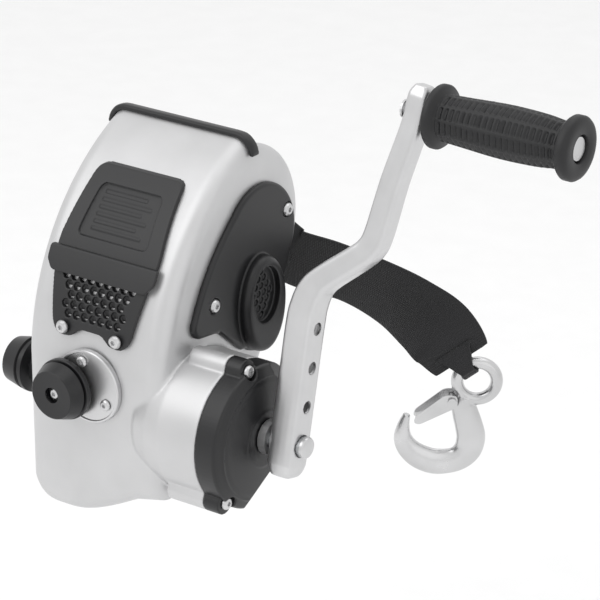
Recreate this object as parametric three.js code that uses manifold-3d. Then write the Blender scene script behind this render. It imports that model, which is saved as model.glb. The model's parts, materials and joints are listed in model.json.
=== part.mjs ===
// Two-speed boat trailer winch, in millimetres, +Z up.
// The front of the winch faces -Y, the crank is on the +X side and the strap leaves at the back.
// The model's origin is the middle of the frame's underside, where the winch bolts to its stand.
// Inside the group, sizes are measured from the crank shaft's axis (the X axis of the drawing).

import * as THREE from 'three';
import { mergeVertices } from 'three/addons/utils/BufferGeometryUtils.js';
import Module from 'manifold-3d';

const wasm = await Module();
wasm.setup();

// ---------- driving dimensions ----------

const GAP = 0.3;                         // clearance between neighbouring pieces
const SEGMENTS = 16;                     // sides of an ordinary round piece
const FINE_SEGMENTS = 28;                // sides of a large round piece
const CURVE_STEPS = 5;                   // straight pieces in each curve of an outline

// casing
const FLANK_X = 57;                      // half width over the flat flanks
const EDGE = 12;                         // how far the casing's edges round in
const REAR_RIM = 4;                      // how far the rear shell shows round the flat flanks
const WALL = 3.5;
const FRONT_Y = -40;
const HOOD = { y: 128, z: 20, r: 168.5 };  // arc over the front of the drum
const BACK = { y: 54, z: 110, r: 64.4 };   // arc over the back of the drum
const BACK_END = -30;                      // where the back arc stops, degrees
const NECK = { y: -0.5, z: -2, r: 49, end: 91.3 };
const NOSE_BOTTOM_Z = -77;
const LIP_END_Z = 163;                     // the rear shell's lip stops here at each shoulder

// frame
const PLATE_X = 46;                      // inner face of a side plate
const PLATE_T = 3;
const BASE = { y0: -1.2, y1: 57.5, z0: -46, t: 4 };
const MOUNT_HOLES = [[0, 8], [-30, 46], [30, 46]];
const MOUNT_HOLE_R = 5;

// gears: number of teeth and module
const PINION = { teeth: 10, module: 2.4 };
const IDLER = { teeth: 20, module: 2.4 };
const DRUM_GEAR = { teeth: 40, module: 2.4 };
const SUN = { teeth: 18, module: 2 };
const PLANET = { teeth: 9, module: 2 };
const RING = { teeth: 36, module: 2 };
const GEAR_X = [32, 41];
const EPICYCLIC_X = [67, 77];
const PLANETS = 3;

// shafts
const DRUM_AXIS = { y: 54, z: 92 };
const SHAFT_R = 7;
const SHAFT_X = [-50, 143];
const AXLE_R = 8;
const SLEEVE_R = 10.5;                   // the pinion's sleeve, which runs in the frame
const SLEEVE_BUSH_R = 13;
const IDLER_PIN_X = [25.5, 50];
const PAWL_PIN = { y: -22, z: 24, r: 4 };
const RATCHET_X = [-21, -11];

// crank
const CRANK_LEAN = 13;                   // degrees, back from upright
const CRANK_RADIUS = 230;
const CRANK_X = 131;                     // middle of the lower arm
const ADJUST_PITCH = 26;                 // spacing of the holes that set the crank's length
const GRIP_X = [206, 310];

// selector on the front
const SELECTOR_PLATE = { x: 0, z: 21, r: 25.5 };
const SELECTOR_KNOB = { x: -16, z: 17, r: 21 };   // the knob sits to one side of its plate

// strap and hook
const STRAP_T = 1.6;
const STRAP_W = 50.8;
const ROLL_R = 42;
const EYE = new THREE.Vector3(162, 176, -13);
const HOOK_ACROSS = new THREE.Vector3(0.813, 0.582, 0);

// ---------- finishes ----------

const finishes = {
  aluminium: [0xdcdcdc, 0.4, 0.6],
  plastic: [0x3c3c3e, 0.55, 0],
  label: [0x55565a, 0.6, 0],
  zinc: [0xc9c9c6, 0.35, 0.9],
  steel: [0x8d9094, 0.45, 0.9],
  rubber: [0x2a2a2b, 0.8, 0],
  webbing: [0x2b2b2c, 0.95, 0],
  brass: [0xb08d4f, 0.4, 0.9],
};

function material(finish) {
  const [color, roughness, metalness] = finishes[finish];
  return new THREE.MeshStandardMaterial({ color, roughness, metalness });
}

// ---------- solids ----------

const rad = THREE.MathUtils.degToRad;

function signedVolume(positions, index) {
  const a = new THREE.Vector3();
  const b = new THREE.Vector3();
  const c = new THREE.Vector3();
  let volume = 0;
  for (let i = 0; i < index.length; i += 3) {
    a.fromArray(positions, index[i] * 3);
    b.fromArray(positions, index[i + 1] * 3);
    c.fromArray(positions, index[i + 2] * 3);
    volume += a.dot(b.cross(c));
  }
  return volume;
}

function realTriangles(index) {
  const kept = [];
  for (let i = 0; i < index.length; i += 3) {
    const [a, b, c] = [index[i], index[i + 1], index[i + 2]];
    if (a !== b && b !== c && c !== a) kept.push(a, b, c);
  }
  return kept;
}

// A closed geometry as a manifold solid, whichever way its faces were wound.
function solid(geometry) {
  const g = geometry.clone();
  g.deleteAttribute('normal');
  g.deleteAttribute('uv');
  const merged = mergeVertices(g, 1e-4);
  const vertProperties = new Float32Array(merged.attributes.position.array);
  const triVerts = new Uint32Array(realTriangles(merged.index.array));
  if (signedVolume(vertProperties, triVerts) < 0) {
    for (let i = 0; i < triVerts.length; i += 3) {
      [triVerts[i], triVerts[i + 1]] = [triVerts[i + 1], triVerts[i]];
    }
  }
  return new wasm.Manifold(new wasm.Mesh({ numProp: 3, vertProperties, triVerts }));
}

function join(...solids) {
  return solids.reduce((all, next) => all.add(next));
}

function cut(body, ...tools) {
  return tools.reduce((rest, tool) => rest.subtract(tool), body);
}

// Turns a geometry whose length runs along local Z so that it runs along +X, with local X, Y as Y, Z.
const ALONG_X = new THREE.Matrix4().set(0, 0, 1, 0, 1, 0, 0, 0, 0, 1, 0, 0, 0, 0, 0, 1);
// The same along -Y, with local X, Y as X, Z.
const ALONG_Y = new THREE.Matrix4().set(1, 0, 0, 0, 0, 0, -1, 0, 0, 1, 0, 0, 0, 0, 0, 1);

// The outline's points without repeats and without points inside a straight edge.
function cleaned(shape) {
  const points = shape.getPoints(CURVE_STEPS);
  const apart = points.filter((p, i) => p.distanceTo(points[(i + 1) % points.length]) > 0.08);
  const corners = apart.filter((p, i) => {
    const a = apart[(i + apart.length - 1) % apart.length];
    const b = apart[(i + 1) % apart.length];
    return Math.abs(p.clone().sub(a).cross(b.clone().sub(p))) > 0.002;
  });
  return new THREE.Shape(corners);
}

function extruded(shape, depth, options = {}) {
  return new THREE.ExtrudeGeometry(cleaned(shape), { depth, bevelEnabled: false, ...options });
}

// A Y-Z outline from x0 to x1.
function alongX(shape, x0, x1, options) {
  return solid(extruded(shape, x1 - x0, options).translate(0, 0, x0).applyMatrix4(ALONG_X));
}

// An X-Z outline from y0 (front) to y1 (back).
function alongY(shape, y0, y1, options) {
  return solid(extruded(shape, y1 - y0, options).translate(0, 0, -y1).applyMatrix4(ALONG_Y));
}

function box(x0, x1, y0, y1, z0, z1) {
  const g = new THREE.BoxGeometry(x1 - x0, y1 - y0, z1 - z0);
  return solid(g.translate((x0 + x1) / 2, (y0 + y1) / 2, (z0 + z1) / 2));
}

// A turned solid about X through (y, z); the profile lists [radius, x].
function turnedX(profile, y = 0, z = 0, segments = SEGMENTS) {
  const points = profile.map(([r, x]) => new THREE.Vector2(r, x));
  const g = new THREE.LatheGeometry(points, segments).rotateZ(-Math.PI / 2);
  return solid(g.translate(0, y, z));
}

// A turned solid about an axis along Y through (x, z); the profile lists [radius, y].
function turnedY(profile, x = 0, z = 0, segments = SEGMENTS) {
  const points = profile.map(([r, y]) => new THREE.Vector2(r, y));
  return solid(new THREE.LatheGeometry(points, segments).translate(x, 0, z));
}

function rodX(r, x0, x1, y = 0, z = 0, segments = SEGMENTS) {
  return turnedX([[0, x0], [r, x0], [r, x1], [0, x1]], y, z, segments);
}

function rodY(r, y0, y1, x = 0, z = 0, segments = SEGMENTS) {
  return turnedY([[0, y0], [r, y0], [r, y1], [0, y1]], x, z, segments);
}

function tubeX(inner, outer, x0, x1, y = 0, z = 0, segments = SEGMENTS) {
  return turnedX([[inner, x0], [outer, x0], [outer, x1], [inner, x1], [inner, x0]], y, z, segments);
}

function polygon(points) {
  return new THREE.Shape(points.map(([a, b]) => new THREE.Vector2(a, b)));
}

// A closed outline whose corners are rounded to radius r.
function rounded(points, r) {
  const corners = points.map(([a, b]) => new THREE.Vector2(a, b));
  const shape = new THREE.Shape();
  corners.forEach((p, i) => {
    const before = corners[(i + corners.length - 1) % corners.length];
    const after = corners[(i + 1) % corners.length];
    const reach = Math.min(r, p.distanceTo(before) / 2, p.distanceTo(after) / 2);
    const enter = before.clone().sub(p).setLength(reach).add(p);
    const leave = after.clone().sub(p).setLength(reach).add(p);
    if (i === 0) shape.moveTo(enter.x, enter.y);
    else shape.lineTo(enter.x, enter.y);
    shape.quadraticCurveTo(p.x, p.y, leave.x, leave.y);
  });
  shape.closePath();
  return shape;
}

// ---------- gears ----------

// Tooth outline points for one gear. Addendum and dedendum are short, and the flanks have backlash.
function gearOutline({ teeth, module }, { inside = false, turn = 0 } = {}) {
  const pitchR = teeth * module / 2;
  const addendum = 0.8 * module;
  const dedendum = 1.05 * module;
  const tipR = inside ? pitchR + dedendum : pitchR + addendum;
  const rootR = inside ? pitchR - addendum : pitchR - dedendum;
  const baseR = pitchR * Math.cos(rad(20));
  const involute = (r) => {
    const t = Math.sqrt(Math.max(0, (r / baseR) ** 2 - 1));
    return t - Math.atan(t);
  };
  const backlash = 0.06 * module / pitchR;
  const half = Math.PI / (2 * teeth) + (inside ? backlash : -backlash);
  const points = [];
  for (let i = 0; i < teeth; i += 1) {
    const middle = turn + i * 2 * Math.PI / teeth;
    const radii = [rootR, tipR];
    const flank = radii.map((r) => [r, half + involute(pitchR) - involute(r)]);
    flank.forEach(([r, a]) => points.push([r, middle - a]));
    flank.reverse().forEach(([r, a]) => points.push([r, middle + a]));
  }
  return points.map(([r, a]) => [r * Math.cos(a), r * Math.sin(a)]);
}

function gearX(gear, x0, x1, y, z, options) {
  return alongX(polygon(gearOutline(gear, options)), x0, x1).translate([0, y, z]);
}

function pitchRadius(gear) {
  return gear.teeth * gear.module / 2;
}

// The idler sits where it meshes with both the pinion and the drum gear.
function idlerPlace() {
  const near = pitchRadius(PINION) + pitchRadius(IDLER);
  const far = pitchRadius(IDLER) + pitchRadius(DRUM_GEAR);
  const apart = Math.hypot(DRUM_AXIS.y, DRUM_AXIS.z);
  const along = (near ** 2 - far ** 2 + apart ** 2) / (2 * apart);
  const off = Math.sqrt(near ** 2 - along ** 2);
  const [uy, uz] = [DRUM_AXIS.y / apart, DRUM_AXIS.z / apart];
  return { y: along * uy - off * uz, z: along * uz + off * uy };
}

const idlerAt = idlerPlace();

// A gear that meshes with another has a space where the other has a tooth.
function meshingTurn(gear, place, other, otherPlace, otherTurn) {
  const toOther = Math.atan2(otherPlace.z - place.z, otherPlace.y - place.y);
  const fromOther = toOther + Math.PI;
  const otherPhase = ((fromOther - otherTurn) * other.teeth) / (2 * Math.PI);
  return toOther + ((otherPhase + 0.5) * 2 * Math.PI) / gear.teeth;
}

// ---------- screws ----------

// A pan-head screw whose head sits on a face at `at`; `out` is '+X', '-X' or '-Y'.
function screw(at, out, r = 4.6, head = 3, shank = 8) {
  const profile = [[0, -shank], [2, -shank], [2, 0], [r, 0], [r * 0.8, head], [0, head]];
  const points = profile.map(([a, b]) => new THREE.Vector2(a, b));
  const g = new THREE.LatheGeometry(points, 8);
  if (out === '+X') g.rotateZ(-Math.PI / 2);
  if (out === '-X') g.rotateZ(Math.PI / 2);
  if (out === '-Y') g.rotateX(Math.PI);
  return solid(g).translate(at);
}

// ---------- casing ----------

// How far forward the hood's arc is at height z.
function hoodY(z, inset) {
  return HOOD.y - Math.sqrt((HOOD.r - inset) ** 2 - (z - HOOD.z) ** 2);
}

// Where the two top arcs cross, once both are pulled in by `inset`.
function ridge(inset) {
  const [r1, r2] = [HOOD.r - inset, BACK.r - inset];
  const [dy, dz] = [BACK.y - HOOD.y, BACK.z - HOOD.z];
  const apart = Math.hypot(dy, dz);
  const along = (r1 ** 2 - r2 ** 2 + apart ** 2) / (2 * apart);
  const off = Math.sqrt(r1 ** 2 - along ** 2);
  return {
    y: HOOD.y + (along * dy + off * dz) / apart,
    z: HOOD.z + (along * dz - off * dy) / apart,
  };
}

// Side profile of the casing, pulled in by `inset`.
function casingProfile(inset) {
  const s = new THREE.Shape();
  const top = ridge(inset);
  const start = Math.acos((FRONT_Y + inset - HOOD.y) / (HOOD.r - inset));
  const hoodEnd = Math.atan2(top.z - HOOD.z, top.y - HOOD.y);
  const backStart = Math.atan2(top.z - BACK.z, top.y - BACK.y);
  s.moveTo(FRONT_Y + inset, NOSE_BOTTOM_Z + inset);
  s.lineTo(FRONT_Y + inset, HOOD.z + (HOOD.r - inset) * Math.sin(start));
  s.absarc(HOOD.y, HOOD.z, HOOD.r - inset, start, hoodEnd, true);
  s.absarc(BACK.y, BACK.z, BACK.r - inset, backStart, rad(BACK_END), true);
  s.lineTo(71 - inset, 10 - inset * 0.4);
  s.lineTo(62 - inset, -6);
  s.lineTo(62 - inset, -41.5);
  s.lineTo(-2 - inset, -41.5);
  s.lineTo(-9 - inset, NOSE_BOTTOM_Z + inset);
  s.closePath();
  return s;
}

// The casing seen from the front, without the gear neck.
function frontOutline(inset) {
  const s = new THREE.Shape();
  const w = FLANK_X + 1 - inset;
  const bottom = NOSE_BOTTOM_Z + inset;
  s.moveTo(-w, 190);
  s.lineTo(-w, -38);
  s.bezierCurveTo(-w, -62, -52 + inset, bottom, -34, bottom);
  s.lineTo(-24, bottom);
  s.bezierCurveTo(-8, bottom, 10, -68 + inset, 32, -56 + inset);
  s.lineTo(w, -50 + inset);
  s.lineTo(w, 190);
  s.closePath();
  return s;
}

// The body of the casing as a full solid: `inset` is 0 outside and WALL inside.
function casingBody(inset) {
  const edge = EDGE - inset * 0.6;
  const x = FLANK_X - inset;
  const body = alongX(casingProfile(inset), -x + edge, x - edge, {
    bevelEnabled: true, bevelThickness: edge, bevelSize: edge, bevelOffset: -edge, bevelSegments: 2,
  });
  return body.intersect(alongY(frontOutline(inset), -80, 140));
}

function neckBody() {
  const { r } = NECK;
  const profile = [
    [0, 12], [24, 18], [36, 27], [43, 37], [r - 2.5, 48],
    [r, 60], [r, NECK.end], [0, NECK.end],
  ];
  const lobes = neckScrewPlaces.map(([y, z]) => rodX(LOBE_R, 62, NECK.end, y, z, 12));
  return join(turnedX(profile, NECK.y, NECK.z, FINE_SEGMENTS), ...lobes);
}

// Outline of a side cover, pulled in by `inset`.
function teardrop(inset) {
  const s = new THREE.Shape();
  s.absarc(67, 104, 37.5 - inset, rad(-31), rad(140), false);
  s.quadraticCurveTo(8 + inset * 0.8, 103 - inset * 0.6, -7.2 + inset, 67);
  s.absarc(1, 63.5, 9 - inset, rad(156), rad(262), false);
  s.lineTo(20, 52 + inset);
  s.lineTo(44 + inset, 31 + inset);
  s.lineTo(66, 27 + inset);
  s.lineTo(76 - inset, 28);
  s.closePath();
  return s;
}

const HUB_BOSS = { y: 62, z: 60, across: 22, up: 34, height: 13 };
const BOSS_POCKET = { y: 60, z: 68, across: 14.5, up: 20, depth: 5 };
const COVER_T = 4;
const COVER_SEAT = 2.5;                  // a screw's seat, measured from the cover's back
const coverScrews = [[14.4, 73.2], [95.4, 115.2]];
const LOBE_R = 8;                        // round each of the gear cover's screws
const NECK_SEAT = 12;                    // a screw's seat, measured from the gear cover's back
// The gear cover's flat facets: the way each faces, in degrees, and how far from the back it starts.
const COVER_FACETS = [[-61, 2], [43, 9]];
const FACET_SLOPE = 52;
const neckScrewAngles = [99, 228, 345];
const neckScrewPlaces = neckScrewAngles.map((a) => [
  NECK.y + 48.5 * Math.cos(rad(a)), NECK.z + 48.5 * Math.sin(rad(a)),
]);
const bezelScrews = [[-22, 57.5], [22, 57.5]];
const plateScrews = [104, -33].map((a) => [
  SELECTOR_PLATE.x + 17.5 * Math.cos(rad(a)), SELECTOR_PLATE.z + 17.5 * Math.sin(rad(a)),
]);
const strapSlot = box(-28.5, 28.5, 96, 134, 106, 132);

// Everything behind the seam, except the two flat flanks.
function rearRegion(gap) {
  const region = alongX(polygon([
    [61 + gap, 200], [140, 200], [140, -60], [50 + gap, -60], [50 + gap, 20], [61 + gap, 120],
  ]), -80, 80);
  const flank = alongX(casingProfile(REAR_RIM - gap), -80, 80);
  const sides = cut(flank, box(-50.2 + gap, 50.2 - gap, -60, 140, -100, 200));
  return cut(region, sides);
}

function casingShell() {
  const outside = join(casingBody(0), neckBody());
  const inside = join(
    casingBody(WALL),
    rodX(38, 40, 62, 0, 0, FINE_SEGMENTS),
    rodX(44.6, 61, 100, 0, 0, FINE_SEGMENTS),
    box(-PLATE_X - 6, PLATE_X + 6, -1.8, 57.9, -60, -20),
  );
  return cut(outside, inside);
}

function makeCasing() {
  const shell = casingShell();
  const openings = [
    rodX(12.4, -70, -40),
    rodY(6.1, -60, -20, SELECTOR_KNOB.x, SELECTOR_KNOB.z),
    alongX(teardrop(7), -80, 80),
  ];
  const screwHoles = [
    ...coverScrews.flatMap(([y, z]) => [rodX(2.4, 50, 60, y, z, 6), rodX(2.4, -60, -50, y, z, 6)]),
    ...neckScrewPlaces.map(([y, z]) => rodX(2.4, 76, 93, y, z, 6)),
    ...bezelScrews.map(([x, z]) => rodY(2.4, -50, -30, x, z, 6)),
    ...plateScrews.map(([x, z]) => rodY(2.4, -50, -30, x, z, 6)),
  ];
  const front = cut(shell, rearRegion(0), ...openings, ...screwHoles);
  const lipSlab = box(-80, 80, 57.5, 66, LIP_END_Z, 190);
  const lip = cut(casingBody(-3.4).intersect(lipSlab), casingBody(-GAP));
  const lipBack = casingBody(-3.4).intersect(box(-80, 80, 62, 66, LIP_END_Z, 190));
  const rear = cut(
    join(shell.intersect(rearRegion(GAP)), lip, lipBack.intersect(rearRegion(GAP))),
    casingBody(WALL), strapSlot, front,
  );
  return { front, rear };
}

// A skin that lies on the casing, from `low` to `high` above its surface, inside an X-Z outline.
function onHood(outline, low, high) {
  const skin = cut(casingBody(-high), casingBody(-low));
  return skin.intersect(alongY(outline, -70, 58));
}

function bezelOutline(inset) {
  return rounded([
    [-34.5 + inset, 152 - inset], [34.5 - inset, 152 - inset], [41.5 - inset, 108],
    [32 - inset, 58], [27 - inset, 51.5 + inset], [16, 51.5 + inset], [9, 58 + inset],
    [-9, 58 + inset], [-16, 51.5 + inset], [-27 + inset, 51.5 + inset], [-32 + inset, 58],
    [-41.5 + inset, 108],
  ], 6);
}

function honeycomb() {
  const pitch = 9;
  const holes = [];
  for (let row = 0; row < 3; row += 1) {
    const z = 68 + row * pitch * 0.866;
    const across = 2 + (row > 1 ? 1 : 0);
    for (let i = -across; i <= across; i += 1) {
      const x = (i + (row % 2 ? 0.5 : 0)) * pitch;
      if (Math.abs(x) < 26) holes.push(rodY(4.1, -70, 20, x, z, 6));
    }
  }
  return holes;
}

function makeBezel() {
  const window = rounded([[-25, 143], [25, 143], [29, 113], [-29, 113]], 5);
  const screwHoles = bezelScrews.map(([x, z]) => rodY(2.4, -60, -20, x, z, 6));
  return cut(
    onHood(bezelOutline(0), GAP, 3.2),
    onHood(window, 1.8, 8),
    ...honeycomb(),
    ...screwHoles,
  );
}

function makeBand() {
  const outline = polygon([
    [-44, 106], [44, 106], [44, 97], [39, 91], [-39, 91], [-44, 97],
  ]);
  return onHood(outline, 3.2 + GAP, 6);
}

function oval({ y, z, across, up }) {
  const s = new THREE.Shape();
  s.absellipse(y, z, across, up, 0, Math.PI, false);
  s.absellipse(y, z, across, up, Math.PI, 2 * Math.PI, false);
  return s;
}

// A side cover: a thin teardrop plate with an oval boss that has a pocket in its face.
function makeSideCover() {
  const x = FLANK_X + GAP;
  const plate = alongX(teardrop(0), x, x + COVER_T - 2, {
    bevelEnabled: true, bevelThickness: 2, bevelSize: 2.5, bevelOffset: -2.5, bevelSegments: 2,
  }).intersect(box(x, 90, -40, 140, 0, 160));
  const bossTop = x + HUB_BOSS.height;
  const boss = alongX(oval(HUB_BOSS), x, bossTop - 5, {
    bevelEnabled: true, bevelThickness: 5, bevelSize: 5, bevelOffset: -5, bevelSegments: 2,
  }).intersect(box(x, 90, -40, 140, 0, 160));
  const pocket = alongX(oval(BOSS_POCKET), bossTop - BOSS_POCKET.depth, 90);
  const hollow = alongX(teardrop(6.5), 40, x + COVER_T - 2.5);
  const shankHoles = coverScrews.map(([y, z]) => rodX(2.4, 50, 80, y, z, 6));
  const seats = coverScrews.map(([y, z]) => rodX(5.2, x + COVER_SEAT, 80, y, z, 10));
  return cut(join(plate, boss), pocket, hollow, ...shankHoles, ...seats);
}

function makeGearCover() {
  const { y, z, r, end } = NECK;
  const x = end + GAP;
  const dish = turnedX([
    [0, x], [r, x], [r, x + 14], [r - 3, x + 16.5], [38, x + 19], [20, x + 21], [19, x + 21.5], [0, x + 21.5],
  ], y, z, FINE_SEGMENTS);
  const facets = COVER_FACETS.map(([a, start]) => box(-150, 150, 0, 150, -150, 150)
    .rotate([0, 0, -FACET_SLOPE]).rotate([a, 0, 0])
    .translate([x + start, y + r * Math.cos(rad(a)), z + r * Math.sin(rad(a))]));
  const lobes = neckScrewPlaces.map(([ly, lz]) => rodX(LOBE_R, x, x + NECK_SEAT, ly, lz, 12));
  const hollow = turnedX([
    [0, x - 1], [43, x - 1], [43, x + 1], [34, x + 7], [0, x + 11],
  ], 0, 0, FINE_SEGMENTS);
  const shankHoles = neckScrewPlaces.map(([ly, lz]) => rodX(2.4, x - 1, x + 18, ly, lz, 6));
  const seats = neckScrewPlaces.map(([ly, lz]) => rodX(5, x + NECK_SEAT, x + 30, ly, lz, 12));
  return cut(join(cut(dish, ...facets), ...lobes), hollow, rodX(9.4, x - 1, 130), ...shankHoles, ...seats);
}

// ---------- frame ----------

function makeFrame() {
  const outline = polygon([
    [-26, 12], [-26, 30], [8, 110], [78, 118], [88, 92], [70, 52], [54, 4], [54, BASE.z0],
    [BASE.y0, BASE.z0], [BASE.y0, -38], [-14, -22],
  ]);
  const plate = alongX(outline, PLATE_X, PLATE_X + PLATE_T);
  const base = box(-PLATE_X - 0.5, PLATE_X + 0.5, BASE.y0, BASE.y1, BASE.z0, BASE.z0 + BASE.t);
  const both = join(plate, plate.mirror([1, 0, 0]), base);
  const holes = [
    rodX(SHAFT_R + 3.3, -60, -40),
    rodX(SLEEVE_BUSH_R + GAP, 40, 60),
    rodX(AXLE_R + GAP, -60, 60, DRUM_AXIS.y, DRUM_AXIS.z),
    rodX(5.3, -60, 60, idlerAt.y, idlerAt.z),
    rodX(PAWL_PIN.r + GAP, -60, 60, PAWL_PIN.y, PAWL_PIN.z),
  ];
  const mountHoles = MOUNT_HOLES.map(([x, y]) => {
    const bore = new THREE.CylinderGeometry(MOUNT_HOLE_R, MOUNT_HOLE_R, 20, 20);
    return solid(bore.rotateX(Math.PI / 2)).translate([x, y, BASE.z0]);
  });
  return cut(both, ...holes, ...mountHoles);
}

// ---------- drum ----------

function makeDrum() {
  const { y, z } = DRUM_AXIS;
  return turnedX([
    [AXLE_R + GAP, -31], [49, -31], [49, -29], [16, -29], [16, 29], [49, 29], [49, 31], [AXLE_R + GAP, 31],
    [AXLE_R + GAP, -31],
  ], y, z, FINE_SEGMENTS);
}

function makeDrumGear() {
  const { y, z } = DRUM_AXIS;
  const blank = gearX(DRUM_GEAR, GEAR_X[0], GEAR_X[1], y, z);
  const lightening = [0, 90, 180, 270].map((a) => rodX(
    10, 20, 60, y + 29 * Math.cos(rad(a)), z + 29 * Math.sin(rad(a)), 12,
  ));
  return cut(blank, rodX(AXLE_R + GAP, 20, 60, y, z), ...lightening);
}

// ---------- gear train ----------

const planetPlaces = Array.from({ length: PLANETS }, (_, i) => {
  const a = i * 2 * Math.PI / PLANETS + Math.PI / 2;
  const r = pitchRadius(SUN) + pitchRadius(PLANET);
  return { y: r * Math.cos(a), z: r * Math.sin(a) };
});

const origin = { y: 0, z: 0 };
const idlerTurn = meshingTurn(IDLER, idlerAt, DRUM_GEAR, DRUM_AXIS, 0);
const pinionTurn = meshingTurn(PINION, origin, IDLER, idlerAt, idlerTurn);

function makeCarrier() {
  const pinion = gearX(PINION, GEAR_X[0], GEAR_X[1], 0, 0, { turn: pinionTurn });
  const sleeve = rodX(SLEEVE_R, GEAR_X[1], 60);
  const disc = rodX(36, 59, 64, 0, 0, FINE_SEGMENTS);
  return cut(join(pinion, sleeve, disc), rodX(SHAFT_R + GAP, 20, 80));
}

function makePlanetPin({ y, z }) {
  return turnedX([[0, 64 + GAP], [3.5, 64 + GAP], [3.5, 79], [6, 79], [6, 81], [0, 81]], y, z, 16);
}

function makePlanet(place) {
  const turn = meshingTurn(PLANET, place, SUN, origin, 0);
  const blank = gearX(PLANET, ...EPICYCLIC_X, place.y, place.z, { turn });
  return cut(blank, rodX(3.5 + GAP, 60, 90, place.y, place.z, 16));
}

// The ring's teeth match the first planet: its tooth on the far side meets a space of the ring.
function makeRingGear() {
  const planetTurn = meshingTurn(PLANET, planetPlaces[0], SUN, origin, 0);
  const outward = Math.atan2(planetPlaces[0].z, planetPlaces[0].y);
  const planetPhase = ((outward - planetTurn) * PLANET.teeth) / (2 * Math.PI);
  const turn = outward - (planetPhase * 2 * Math.PI) / RING.teeth;
  const space = gearX(RING, EPICYCLIC_X[0] - 2, EPICYCLIC_X[1] + 2, 0, 0, { inside: true, turn });
  return cut(rodX(44.2, EPICYCLIC_X[0] - 1, EPICYCLIC_X[1] + 1, 0, 0, FINE_SEGMENTS), space);
}

function makeRatchetWheel() {
  const teeth = 12;
  const points = [];
  for (let i = 0; i < teeth; i += 1) {
    const a = i * 2 * Math.PI / teeth;
    const step = Math.PI / teeth;
    points.push([22 * Math.cos(a), 22 * Math.sin(a)], [17 * Math.cos(a + step), 17 * Math.sin(a + step)]);
  }
  return cut(alongX(polygon(points), ...RATCHET_X), rodX(SHAFT_R + GAP, -40, 20));
}

function makePawl() {
  const toShaft = Math.atan2(-PAWL_PIN.z, -PAWL_PIN.y);
  const nose = new THREE.Vector2(Math.cos(toShaft), Math.sin(toShaft));
  const side = new THREE.Vector2(-nose.y, nose.x);
  const at = (along, across) => [
    PAWL_PIN.y + nose.x * along + side.x * across,
    PAWL_PIN.z + nose.y * along + side.y * across,
  ];
  const outline = polygon([at(-7, -3), at(-7, 3), at(2, 7), at(9.5, 1.5), at(9.5, -1.5), at(2, -7)]);
  return cut(alongX(outline, ...RATCHET_X), rodX(PAWL_PIN.r + GAP, -40, 20, PAWL_PIN.y, PAWL_PIN.z));
}

// ---------- crank ----------

// A bar of rounded rectangular section along points in the X-Z plane; each point is [x, z, width, depth].
function bar(points, corner = 0.28) {
  const ring = 8;
  const positions = [];
  const index = [];
  points.forEach(([x, z, width, depth], i) => {
    const a = points[Math.max(0, i - 1)];
    const b = points[Math.min(points.length - 1, i + 1)];
    const tangent = new THREE.Vector2(b[0] - a[0], b[1] - a[1]).normalize();
    const across = new THREE.Vector2(tangent.y, -tangent.x);
    const [w, d] = [width / 2, depth / 2];
    const c = corner * Math.min(w, d) * 2;
    const section = [
      [w, -d + c], [w, d - c], [w - c, d], [-w + c, d], [-w, d - c], [-w, -d + c], [-w + c, -d], [w - c, -d],
    ];
    section.forEach(([s, y]) => positions.push(x + across.x * s, y, z + across.y * s));
  });
  for (let i = 0; i + 1 < points.length; i += 1) {
    for (let k = 0; k < ring; k += 1) {
      const [p, q] = [i * ring + k, i * ring + (k + 1) % ring];
      index.push(p, q, q + ring, p, q + ring, p + ring);
    }
  }
  const last = (points.length - 1) * ring;
  for (let k = 1; k + 1 < ring; k += 1) {
    index.push(0, k + 1, k, last, last + k, last + k + 1);
  }
  const g = new THREE.BufferGeometry();
  g.setAttribute('position', new THREE.Float32BufferAttribute(positions, 3));
  g.setIndex(index);
  return solid(g);
}

function makeCrankArm() {
  const x = CRANK_X;
  const arm = bar([
    [x, -22, 14, 14], [x, -17, 19, 19], [x, -10, 20.5, 22], [x, 80, 20.5, 22], [x + 1, 92, 20, 21.5],
    [x + 4, 102, 19.5, 20.5], [x + 11, 111.5, 18, 19], [x + 34, 130.5, 17, 18], [x + 42, 139, 16.5, 17],
    [x + 46, 150, 16, 16.5], [x + 52, 184, 15.5, 16], [x + 60.5, 220, 15, 15.5], [x + 62.5, 236, 15, 15.5],
    [x + 63, 242, 14, 14.5], [x + 63.5, 247, 9, 10],
  ]);
  // The arm is a channel above its hub, open towards the casing, with the length holes in its web.
  const channel = box(x - 15, x + 7.25, -8, 8, 15, 84);
  const holes = [1, 2, 3].map((i) => {
    const bore = new THREE.CylinderGeometry(4.2, 4.2, 60, 12).rotateZ(Math.PI / 2);
    return solid(bore).translate([x, 0, i * ADJUST_PITCH]);
  });
  const shaftHole = rodX(SHAFT_R + GAP, x - 30, x + 30);
  const gripHole = rodX(4.3, x + 40, x + 90, 0, CRANK_RADIUS, 16);
  return cut(arm, channel, ...holes, shaftHole, gripHole);
}

function makeGrip() {
  const [x0, x1] = GRIP_X;
  const profile = [
    [4.6, x0], [14, x0], [20.5, x0 + 1.5], [20.5, x0 + 5], [15, x0 + 8], [15.5, x0 + 20], [17, x0 + 50],
    [16.5, x0 + 75], [15, x0 + 90], [15.5, x1 - 10], [20.5, x1 - 7], [20.5, x1 - 2], [17, x1],
    [9, x1], [9, x1 - 6], [4.6, x1 - 6], [4.6, x0],
  ];
  return turnedX(profile, 0, CRANK_RADIUS, 20);
}

function makeGripBolt() {
  const [x0, x1] = GRIP_X;
  return turnedX([
    [0, 182.5], [6, 182.5], [6, 184], [4, 184], [4, x1 - 5.5], [7.5, x1 - 5.5], [7.5, x1 - 2], [0, x1 - 2],
  ], 0, CRANK_RADIUS, 20).add(tubeX(3.9, 9, x0 - 4, x0 - 0.4, 0, CRANK_RADIUS, 20));
}

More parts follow.
